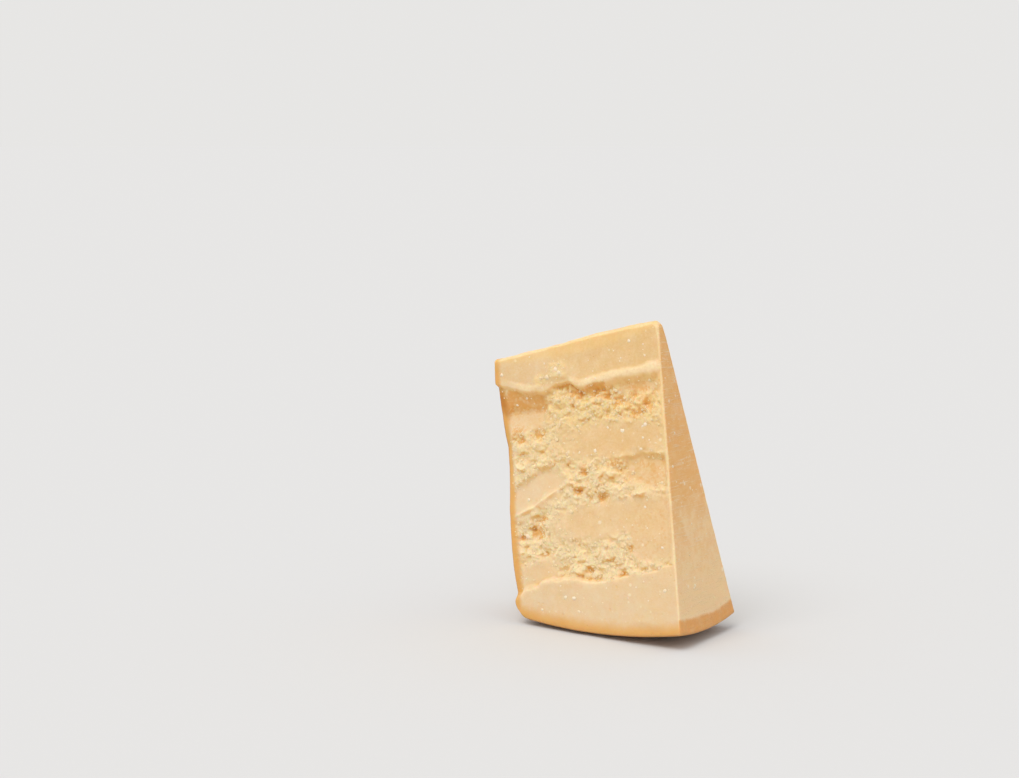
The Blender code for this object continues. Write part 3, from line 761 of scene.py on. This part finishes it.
def wheelPlace(mat, place):
    # distances in millimetres from the barrel side, the flat face and the cut
    shifted = mat.add("VectorMath", {"operation": "ADD"}, i0=place, i1=wedgeOffset).outputs[0]
    upright = math.radians(wedge["lean"])
    turned = mat.add("VectorRotate", {"rotation_type": "Y_AXIS"}, Vector=shifted, Angle=upright)
    parts = mat.add("SeparateXYZ", None, Vector=turned.outputs[0])
    fromFlat = mat.scaled(parts.outputs["X"], 1000.0, halfHeight)
    squareY, squareZ = [mat.times(parts.outputs[axis], parts.outputs[axis]) for axis in ("Y", "Z")]
    radius = mat.times(mat.math("SQRT", mat.math("ADD", squareY, squareZ)), 1000.0)
    towardCut = mat.scaled(fromFlat, -1.0 / halfHeight, 1.0)
    drop = mat.times(mat.times(towardCut, towardCut), wedge["bulge"])
    fromSide = mat.math("SUBTRACT", mat.math("SUBTRACT", wedge["wheelRadius"], drop), radius)
    return fromSide, fromFlat, mat.math("SUBTRACT", halfHeight, fromFlat)


def fromOutside(mat, fromSide, fromFlat):
    # the distance from the rind, which is round at the rim
    rim = wedge["rimRadius"]
    inRim = [mat.math("MAXIMUM", mat.math("SUBTRACT", rim, away), 0.0) for away in (fromSide, fromFlat)]
    square = mat.math("ADD", *[mat.times(depth, depth) for depth in inRim])
    return mat.math("SUBTRACT", rim, mat.math("SQRT", square))


def finishPaste(mat, colour, roughness, share=0.0):
    mat.finish({"Base Color": colour, "Roughness": roughness, "IOR": paste["ior"],
                "Subsurface Weight": share, "Subsurface Radius": paste["subsurfaceColours"],
                "Subsurface Scale": paste["subsurfaceReach"]})


def specks(mat, place, kind):
    # only some cells of a Voronoi pattern have one
    scale, chosenShare, size = speckKinds[kind]
    cells = mat.add("TexVoronoi", None, Vector=place, Scale=scale)
    chosen = mat.add("SeparateColor", None, Color=cells.outputs["Color"]).outputs[0]
    width = mat.scaled(chosen, size / chosenShare, size - size / chosenShare)
    return mat.smooth(mat.math("SUBTRACT", width, cells.outputs["Distance"]), *speckEdge)


def grains(mat, place):
    # each grain's tone, and how far it stands out
    look = grainCells
    bends = mat.add("TexNoise", None, Vector=place, Scale=look["bendScale"], Detail=look["bendDetail"])
    bent = mat.add("VectorMath", {"operation": "MULTIPLY_ADD"}, i0=bends.outputs["Color"],
                     i1=(look["bend"],) * 3, i2=place)
    cells = mat.add("TexVoronoi", None, Vector=bent.outputs[0], Scale=look["scale"])
    tone = mat.add("SeparateColor", None, Color=cells.outputs["Color"]).outputs[0]
    stand = mat.scaled(cells.outputs["Distance"], look["dome"], mat.times(tone, look["step"]))
    return tone, stand


def scored(mat, place, turn, scale):
    # fine straight marks that all run one way across the cut
    turn = (math.radians(turn), 0.0, 0.0)
    turned = mat.add("Mapping", None, Vector=place, Rotation=turn, Scale=(1.0, scoring["stretch"], 1.0))
    return mat.smooth(mat.noise(turned.outputs[0], scale, *scoring["noise"]), *scoring["limits"])


def pasteMaterial():
    mat = Nodes("cheesePaste")
    place = mat.place()
    fromSide, fromFlat, fromCut = wheelPlace(mat, place)
    names = ("clouds", "blotches", "motes", "grainy", "pores")
    clouds, blotches, motes, grainy, pores = [mat.pattern(place, name) for name in names]
    names = ("rough", "hollow", "amber", "crest", "edge")
    rough, hollow, amber, crest, edge = [mat.painted(name) for name in names]
    tone, grit = grains(mat, place)

    # the sound paste
    shade = mat.scaled(motes, cover["motes"], mat.times(clouds, cover["clouds"]))
    shade = mat.scaled(blotches, cover["blotches"], shade)
    # paler towards the barrel side at the bottom, as painted light bounced from the floor, and paler
    # towards the flat face
    towardSide = mat.zone(fromSide, "towardSide")
    outer = mat.math("MAXIMUM", towardSide, mat.zone(fromFlat, "towardFlat"))
    shade = mat.scaled(outer, cover["outer"], shade)
    # warmer towards the tip: painted warm light
    ground = mat.tint(mat.zone(fromSide, "warmLightAtTip"), rgba(paste["base"]), "warmLightAtTip")
    colour = mat.mix(shade, ground, mat.tint(outer, rgba(paste["pale"]), "paleSide"))

    # the crumbly bands
    lifted = mat.times(rough, mat.scaled(tone, 0.5, 0.5))
    # the crumbly bands are warmer towards the tip too: painted warm light
    inWarmLightAtTip = mat.zone(fromSide, "brokenWarmLightAtTip")
    colour = mat.mix(lifted, colour, mat.tint(inWarmLightAtTip, rgba(paste["broken"]), "brokenWarmLightAtTip"))

    # the cut
    onCut = mat.zone(fromCut, "onCut")
    scratches = mat.math("MAXIMUM", *[scored(mat, place, turn, scale) for turn, scale in scoring["sets"]])
    scratches = mat.times(scratches, onCut)
    # paler lower down the cut: painted light bounced from the floor
    cutFloorBounce = mat.zone(mat.scaled(clouds, -25.0, fromSide), "cutFloorBounce")
    mottle = mat.scaled(motes, cover["cutMotes"], mat.times(blotches, cover["cutBlotches"]))
    # the cut face's colour: partly its own deeper tone, partly painted shade and warm reflected light
    cut = mat.tint(mat.math("ADD", mottle, cutFloorBounce), rgba(paste["cut"]), "cutLow")
    colour = mat.mix(mat.times(onCut, cover["cut"]), colour, cut)
    colour = mat.tint(mat.times(scratches, cover["scratches"]), colour, "pale")

    # painted shade in hollows, painted highlights on crests, and specks
    # painted shade in crevices and on what faces down
    colour = mat.tint(mat.times(hollow, cover["hollow"]), colour, "hollow")
    # painted warm shade deep in the torn hollows and under the lip
    deep = mat.smooth(mat.scaled(tone, -0.45, amber), *deepAmber)
    colour = mat.tint(mat.times(deep, cover["amber"]), colour, "amber")
    # painted highlight along the worn edges
    crest = mat.math("MAXIMUM", crest, mat.times(edge, mat.scaled(blotches, 0.35, 0.7)))
    # painted highlight on the crests
    colour = mat.tint(mat.times(crest, mat.scaled(grainy, 0.5, 0.45)), colour, "crumb")
    pits, fine, large = [specks(mat, place, kind) for kind in ("pits", "fine", "large")]
    colour = mat.tint(mat.times(pits, cover["pits"]), colour, "hollow")
    bright = mat.math("MAXIMUM", large, mat.times(fine, cover["fine"]))
    colour = mat.tint(mat.times(bright, cover["specks"]), colour, "speck")

    # towards the rind, and the painted rim light at the tip
    wander = mat.scaled(mat.noise(place, *noises["wander"]), 5.0, -2.5)
    inSide = mat.zone(mat.math("ADD", fromSide, wander), "sideRind")
    inFlat = mat.zone(mat.math("ADD", fromFlat, mat.times(wander, 0.6)), "flatRind")
    inRind = mat.math("MAXIMUM", inSide, inFlat)
    colour = mat.tint(mat.times(inRind, cover["rind"]), colour, "rindInner")
    shadedRind = mat.times(mat.smooth(amber, *shadedRim), inFlat)
    colour = mat.tint(mat.times(shadedRind, cover["rimShade"]), colour, "rimShade")
    # painted rim light along the tip
    towardTip = mat.zone(mat.scaled(fromCut, paste["tipSlope"], fromSide), "tipRimLight")
    colour = mat.tint(mat.times(towardTip, cover["tipRimLight"]), colour, "tipRimLight")
    fromBand = mat.scaled(wander, 0.4, mat.scaled(blotches, 0.9, fromSide))
    band = mat.tint(mat.times(blotches, cover["bandBlotches"]), rgba(paste["cutRind"]), "base")
    band = mat.tint(mat.times(motes, cover["bandMotes"]), band, "rind")
    colour = mat.mix(mat.times(mat.zone(fromBand, "cutBand"), onCut), colour, band)
    fromLine = mat.math("ABSOLUTE", mat.math("SUBTRACT", fromBand, paleLineAt))
    paleLine = mat.times(mat.zone(fromLine, "paleLine"), onCut)
    colour = mat.tint(mat.times(paleLine, cover["paleLine"]), colour, "pale")
    underEdge = mat.zone(mat.scaled(wander, 0.3, fromSide), "underEdge")
    colour = mat.tint(mat.times(underEdge, cover["underEdge"]), colour, "rind")
    atRind = mat.zone(fromOutside(mat, fromSide, fromFlat), "crust")
    pore = [paste["rindPore"] * value for value in paste["rind"]]
    crust = mat.mix(pores, rgba(paste["rind"]), rgba(pore))
    colour = mat.mix(atRind, colour, mat.tint(clouds, crust, "rind"))

    # what stands out
    names = ("grain", "waves", "coarse", "dents")
    grain, waves, coarse, dents = [mat.noise(place, *noises[name]) for name in names]
    coarse = mat.times(mat.math("ADD", coarse, grit), rough)
    height = mat.math("ADD", mat.times(grain, heights["grain"]), mat.times(waves, heights["waves"]))
    height = mat.math("ADD", height, mat.times(coarse, heights["coarse"]))
    marks = mat.times(scratches, heights["scratches"])
    marks = mat.math("ADD", mat.times(pits, heights["pits"]), marks)
    height = mat.math("ADD", height, mat.scaled(bright, heights["specks"], marks))
    dents = mat.scaled(dents, heights["dents"], mat.times(pores, heights["pores"]))
    height = mat.math("ADD", height, mat.times(dents, atRind))
    mat.bump(height, *bumps["paste"])

    shine = mat.scaled(grain, 0.16, paste["roughness"] - 0.08)
    finishPaste(mat, colour, mat.scaled(rough, 0.2, shine), paste["subsurface"])
    return mat.material


body = buildWedge()
body.data.materials.clear()
body.data.materials.append(pasteMaterial())
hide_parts("cheese_wedge")
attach(body, "root")

# Grains that cling to the crumbly bands
crumbs = {
    "front": 1500,
    "back": 1500,
    "smallest": 0.5,  # radius in millimetres
    "largest": 1.5,
    "stretch": (0.65, 1.35),
    "balls": 1,  # subdivisions of the ball it is broken from
    "faces": 4,  # flat breaks that shape each grain
    "breaks": (0.62, 0.95),  # how near the middle they come, as shares of the radius
    "lift": -0.4,  # share of the radius that the middle lies outside the surface
    "smooth": False,
    "seed": 71,
    "rims": (3.0, 4.0),  # kept free along the flat face and the cut, millimetres
    "reach": (34.0, 186.0),  # from this wheel radius to this one
    "tries": 15,  # places tried per grain
    "clump": 6.0,
    "thinnest": 0.55,
    "onAmber": 0.7,  # how much rarer where the paste is amber
}
# White crystals in the smooth paste
crystals = {
    "front": 50,
    "back": 60,
    "cutSide": 22,
    "smallest": 0.6,
    "largest": 1.8,
    "stretch": (0.8, 1.2),
    "balls": 2,
    "faces": 7,
    "breaks": (0.86, 1.0),
    "lift": -0.65,
    "smooth": True,
    "seed": 91,
    "rims": (5.0, 5.0),
    "reach": (32.0, 192.0),
    "tries": 4,
    "roughest": 0.3,
    "cutReach": (45.0, 198.0),
    # the largest ones of the front: across, radius, size
    "large": [(96, 33, 2.2), (76, 83, 2.0), (86, 86.5, 2.5), (102, 84, 2.0), (100, 85, 1.4),
              (66, 96, 2.7), (55, 96, 1.7), (100, 92, 1.3), (98, 133, 1.8), (45, 44, 2.0), (47, 46, 1.7),
              (12, 143, 2.0), (108, 183, 1.7), (44, 183, 1.7), (38, 182, 1.6), (47, 191, 1.5),
              (108, 158, 1.5)],
}
ballSizes = (0.8, 1.1)  # how uneven the balls are before they break
smallBias = 3.5  # the higher, the rarer the large ones
cutDepth = 0.42  # how far from the middle of the cut they go, in widths


def chunkCorners(rng, sizes, shape, directions):
    # each bit starts as a ball of directions and is cut by flat breaks
    count = len(sizes)
    normals = rng.normal(size=(count, shape["faces"], 3))
    normals = normals / np.linalg.norm(normals, axis=2, keepdims=True)
    reach = rng.uniform(*shape["breaks"], (count, shape["faces"], 1))
    facing = np.maximum(normals @ directions.T, 1e-6)
    length = rng.uniform(*ballSizes, (count, len(directions)))
    length = np.minimum(length, (reach / facing).min(axis=1))
    corners = directions[None] * length[..., None] * rng.uniform(*shape["stretch"], (count, 1, 3))
    turns = np.array([Matrix.Rotation(turn, 3, Vector(axis)) for turn, axis in
                      zip(rng.uniform(0, math.tau, count), rng.normal(size=(count, 3)))])
    return np.einsum("nij,nkj->nki", turns, corners) * sizes[:, None, None] / 1000.0


def ballOf(subdivisions):
    bm = bmesh.new()
    bmesh.ops.create_icosphere(bm, subdivisions=subdivisions, radius=1.0)
    directions = np.array([vertex.co for vertex in bm.verts])
    faces = np.array([[vertex.index for vertex in face.verts] for face in bm.faces])
    bm.free()
    return directions, faces


def scatter(name, shape, spots, rng):
    # spots: across, radius, size, side; side -0.5 is the front, 0.5 the back and 0 the cut
    directions, faces = ballOf(shape["balls"])
    across, radius, sizes, side = np.array(spots).T
    onCut = side == 0.0
    outward = [onCut * 1.0, np.sign(side) * math.cos(halfAngle), (~onCut) * math.sin(halfAngle)]
    side[onCut] = rng.uniform(-cutDepth, cutDepth, onCut.sum())
    down = (radius - tipAt(across, side)) / (rindAt(across) - tipAt(across, side))
    places = wedgePoints(np.stack([across / halfHeight - 0.5, side, 0.5 - down], axis=1))[0]
    centres = places + np.stack(outward, axis=1) @ lean.T * (sizes * shape["lift"] / 1000.0)[:, None]
    corners = chunkCorners(rng, sizes, shape, directions) + centres[:, None, :]
    allFaces = faces[None] + (np.arange(len(sizes)) * len(directions))[:, None, None]
    mesh = bpy.data.meshes.new(name)
    mesh.from_pydata(corners.reshape(-1, 3), [], allFaces.reshape(-1, 3))
    if shape["smooth"]:
        mesh.shade_smooth()
    tones = np.repeat(rng.random(len(sizes)), len(directions))
    mesh.attributes.new("tone", "FLOAT", "POINT").data.foreach_set("value", tones)
    print(name, len(sizes), "bits,", len(mesh.polygons), "triangles")
    return linked(name, mesh)


def drawSizes(rng, shape, count):
    return shape["smallest"] + (shape["largest"] - shape["smallest"]) * rng.random(count) ** smallBias


def spotsOnBreaks(rng, shape, suits):
    spots = []
    low = (shape["rims"][0], shape["reach"][0])
    high = (halfHeight - shape["rims"][1], shape["reach"][1])
    for side, breakMap, count in ((-0.5, frontMap, shape["front"]), (0.5, backMap, shape["back"])):
        tries = rng.uniform(low, high, (shape["tries"] * count, 2))
        kept = tries[suits(rng, breakMap, tries)][:count]
        sizes = drawSizes(rng, shape, len(kept))
        spots += [(across, radius, size, side) for (across, radius), size in zip(kept, sizes)]
    return spots


def crumbsCling(rng, breakMap, tries):
    thinnest = crumbs["thinnest"]
    rough = breakMap.at(breakMap.rough, *tries.T)
    clumps = thinnest + (1.0 - thinnest) * valueNoise(*tries.T, crumbs["clump"], crumbs["seed"])
    bare = 1.0 - crumbs["onAmber"] * breakMap.at(breakMap.amber, *tries.T)
    return rng.random(len(tries)) < rough * clumps * bare


def isSmooth(rng, breakMap, tries):
    return breakMap.at(breakMap.rough, *tries.T) < crystals["roughest"]


def buildCrumbs():
    rng = np.random.default_rng(crumbs["seed"])
    return scatter("cheese_crumbs", crumbs, spotsOnBreaks(rng, crumbs, crumbsCling), rng)


def buildCrystals():
    rng = np.random.default_rng(crystals["seed"])
    spots = [(across, radius, size, -0.5) for across, radius, size in crystals["large"]]
    spots += spotsOnBreaks(rng, crystals, isSmooth)
    radii = rng.uniform(*crystals["cutReach"], crystals["cutSide"])
    sizes = drawSizes(rng, crystals, crystals["cutSide"])
    spots += [(halfHeight, radius, size, 0.0) for radius, size in zip(radii, sizes)]
    return scatter("cheese_crystals", crystals, spots, rng)


def crumbMaterial():
    mat = Nodes("cheeseCrumb")
    place = mat.place()
    colour = mat.tint(mat.painted("tone"), rgba(paste["pale"]), "broken")
    mottle = mat.times(mat.pattern(place, "crumbMottle"), cover["crumbMottle"])
    mat.bump(mat.noise(place, *noises["bits"]), *bumps["crumb"])
    finishPaste(mat, mat.tint(mottle, colour, "pale"), paste["crumbRoughness"])
    return mat.material


def crystalMaterial():
    mat = Nodes("cheeseCrystal")
    place = mat.place()
    colour = mat.tint(mat.pattern(place, "crystalTone"), rgba(paste["pale"]), "crystal")
    mat.bump(mat.noise(place, *noises["bits"]), *bumps["crystal"])
    finishPaste(mat, colour, paste["crystalRoughness"])
    return mat.material


crumbPiece = buildCrumbs()
crumbPiece.data.materials.append(crumbMaterial())
crystalPiece = buildCrystals()
crystalPiece.data.materials.append(crystalMaterial())
for piece in (crumbPiece, crystalPiece):
    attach(piece, "root")

studio = {
    "floorSize": 400.0,
    "floorColour": (0.703, 0.709, 0.722),
    "floorRoughness": 0.8,
    "worldColour": (1.0, 0.99, 0.975),
    "worldStrength": 0.8,
    "keyStrength": 1.25,
    "keyFrom": (-0.05, -0.5, 0.84),
    "keySoftness": 40.0,  # degrees across, as seen from the wedge
    "keyColour": (1.0, 0.96, 0.9),
}


def buildStudio():
    bm = bmesh.new()
    bmesh.ops.create_grid(bm, x_segments=1, y_segments=1, size=studio["floorSize"] / 2)
    floor = meshFromBmesh("studio_floor", bm)
    mat = Nodes("studioFloor")
    mat.finish({"Base Color": rgba(studio["floorColour"]), "Roughness": studio["floorRoughness"],
                "Specular IOR Level": 0.0})
    floor.data.materials.append(mat.material)
    light = bpy.data.lights.new("keyLight", "SUN")
    light.energy = studio["keyStrength"]
    light.angle = math.radians(studio["keySoftness"])
    light.color = studio["keyColour"]
    linked("keyLight", light).rotation_euler = Vector(studio["keyFrom"]).to_track_quat("Z", "Y").to_euler()
    world = bpy.data.worlds.new("studioWorld")
    world.use_nodes = True
    background = world.node_tree.nodes["Background"]
    background.inputs["Color"].default_value = rgba(studio["worldColour"])
    background.inputs["Strength"].default_value = studio["worldStrength"]
    bpy.context.scene.world = world
    bpy.context.scene.view_settings.view_transform = "Standard"
    print("studio ready")


# The photo's viewpoint
view = {
    "place": (0.592310, -1.036664, 0.292241),
    "pitch": 7.02,  # degrees below the horizon
    "turn": 32.43,  # degrees to the left of +Y
    "lens": 70.0,
    "sensor": 36.0,
    "clipStart": 0.05,
}


def buildCamera():
    data = bpy.data.cameras.new("photoCamera")
    data.lens = view["lens"]
    data.sensor_width = view["sensor"]
    data.clip_start = view["clipStart"]
    data.dof.use_dof = False
    camera = linked("photoCamera", data)
    camera.location = view["place"]
    camera.rotation_euler = (math.radians(90.0 - view["pitch"]), 0.0, math.radians(view["turn"]))
    bpy.context.scene.camera = camera


buildStudio()
buildCamera()
